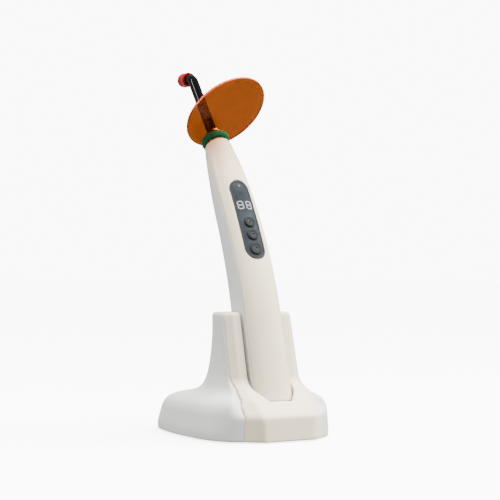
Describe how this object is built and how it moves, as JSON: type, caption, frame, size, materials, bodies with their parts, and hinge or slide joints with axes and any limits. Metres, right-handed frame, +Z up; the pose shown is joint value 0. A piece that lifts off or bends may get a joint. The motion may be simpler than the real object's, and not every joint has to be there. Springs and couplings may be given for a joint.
{
  "type": "dental curing light",
  "caption": "Cordless dental curing light leaning in a weighted charging base, with a bent light guide, red tip cap and canted orange light shield.",
  "frame": {"origin": "on the surface the base stands on, at the middle of the central rubber pad under the handpiece", "axes": "+Z up, front towards -Y with the handpiece and light guide leaning back towards +Y, X across the width"},
  "size_m": [0.1006, 0.1695, 0.2732],
  "materials": {
    "grey_shell": "satin moulded ABS, light warm grey",
    "ivory_shell": "satin moulded ABS, ivory",
    "plate": "matt moulded plastic",
    "feet": "matt rubber",
    "ballast": "zinc-plated steel",
    "board": "solder-masked circuit board",
    "inlet": "black moulded plastic",
    "gold": "gold-plated contact",
    "steel": "plated steel",
    "brass": "turned brass",
    "bezel": "dark grey gloss rim",
    "window": "smoked glossy lens",
    "digits": "lit segments",
    "black": "black plastic",
    "led": "diffused indicator",
    "cell": "shrink-wrapped cell",
    "alu": "anodised aluminium",
    "emitter": "LED package",
    "mirror": "polished reflector",
    "lens": "clear lens",
    "collar": "dark amber-brown gloss",
    "buttons": "soft grey button",
    "guide": "polished black-clad fibre rod",
    "cap": "translucent red silicone",
    "ring": "green silicone",
    "shield": "transparent amber acrylic"
  },
  "bodies": {
    "base": {"base_rear_shell": "grey_shell", "base_front_cover": "ivory_shell", "bottom_plate": "plate", "rubber_feet": "feet", "ballast_plate": "ballast", "charging_board": "board", "dc_inlet": "inlet", "pin_holder": "black", "plate_screws": "steel", "pin_springs": "steel"},
    "pin_left": {"charge_pin_left": "gold"},
    "pin_right": {"charge_pin_right": "gold"},
    "handpiece": {"front_shell": "ivory_shell", "rear_shell": "grey_shell", "foot_cap": "grey_shell", "thread_inserts": "brass", "panel_bezel": "bezel", "panel_window": "window", "display_digits": "digits", "display_module": "black", "status_led": "led", "main_board": "board", "tact_switches": "black", "buzzer": "black", "battery_cell": "cell", "battery_contacts": "steel", "charge_contacts": "gold", "shell_screws": "steel", "heat_sink": "alu", "led_board": "alu", "led_emitter": "emitter", "reflector": "mirror", "collimator_lens": "lens", "guide_socket": "alu", "nose_collar": "collar"},
    "mode_key": {"mode_button": "buttons"},
    "time_key": {"time_button": "buttons"},
    "power_key": {"power_button": "buttons"},
    "guide_mount": {"guide_ferrule": "steel", "ferrule_o_ring": "feet"},
    "guide": {"light_guide": "guide"},
    "cap": {"tip_cap": "cap"},
    "ring": {"shield_ring": "ring"},
    "shield": {"shield_disc": "shield"}
  },
  "joints": [
    {"name": "handpiece_lift", "type": "slide", "parent": "base", "child": "handpiece", "axis": [0, 0.2672, 0.9636], "range_m": [0, 0.085]},
    {"name": "pin_left_press", "type": "slide", "parent": "base", "child": "pin_left", "axis": [0, -0.2672, -0.9636], "range_m": [0, 0.001], "stiffness_N_per_m": 300},
    {"name": "pin_right_press", "type": "slide", "parent": "base", "child": "pin_right", "axis": [0, -0.2672, -0.9636], "range_m": [0, 0.001], "stiffness_N_per_m": 300},
    {"name": "mode_press", "type": "slide", "parent": "handpiece", "child": "mode_key", "axis": [0, 0.8818, -0.4717], "range_m": [0, 0.0006], "stiffness_N_per_m": 800},
    {"name": "time_press", "type": "slide", "parent": "handpiece", "child": "time_key", "axis": [0, 0.8965, -0.443], "range_m": [0, 0.0006], "stiffness_N_per_m": 800},
    {"name": "power_press", "type": "slide", "parent": "handpiece", "child": "power_key", "axis": [0, 0.9114, -0.4115], "range_m": [0, 0.0006], "stiffness_N_per_m": 800},
    {"name": "guide_pull", "type": "slide", "parent": "handpiece", "child": "guide_mount", "axis": [0, 0.6018, 0.7986], "range_m": [0, 0.03]},
    {"name": "guide_turn", "type": "hinge", "parent": "guide_mount", "child": "guide", "pos_m": [0, 0.0617, 0.21038], "axis": [0, 0.6018, 0.7986], "continuous": true},
    {"name": "ring_slide", "type": "slide", "parent": "guide", "child": "ring", "axis": [0, 0.6018, 0.7986], "range_m": [0, 0.025]},
    {"name": "shield_turn", "type": "hinge", "parent": "ring", "child": "shield", "pos_m": [0, 0.0617, 0.21038], "axis": [0, 0.6018, 0.7986], "continuous": true},
    {"name": "cap_pull", "type": "slide", "parent": "guide", "child": "cap", "axis": [0, 0.9986, 0.0523], "range_m": [0, 0.015]}
  ]
}
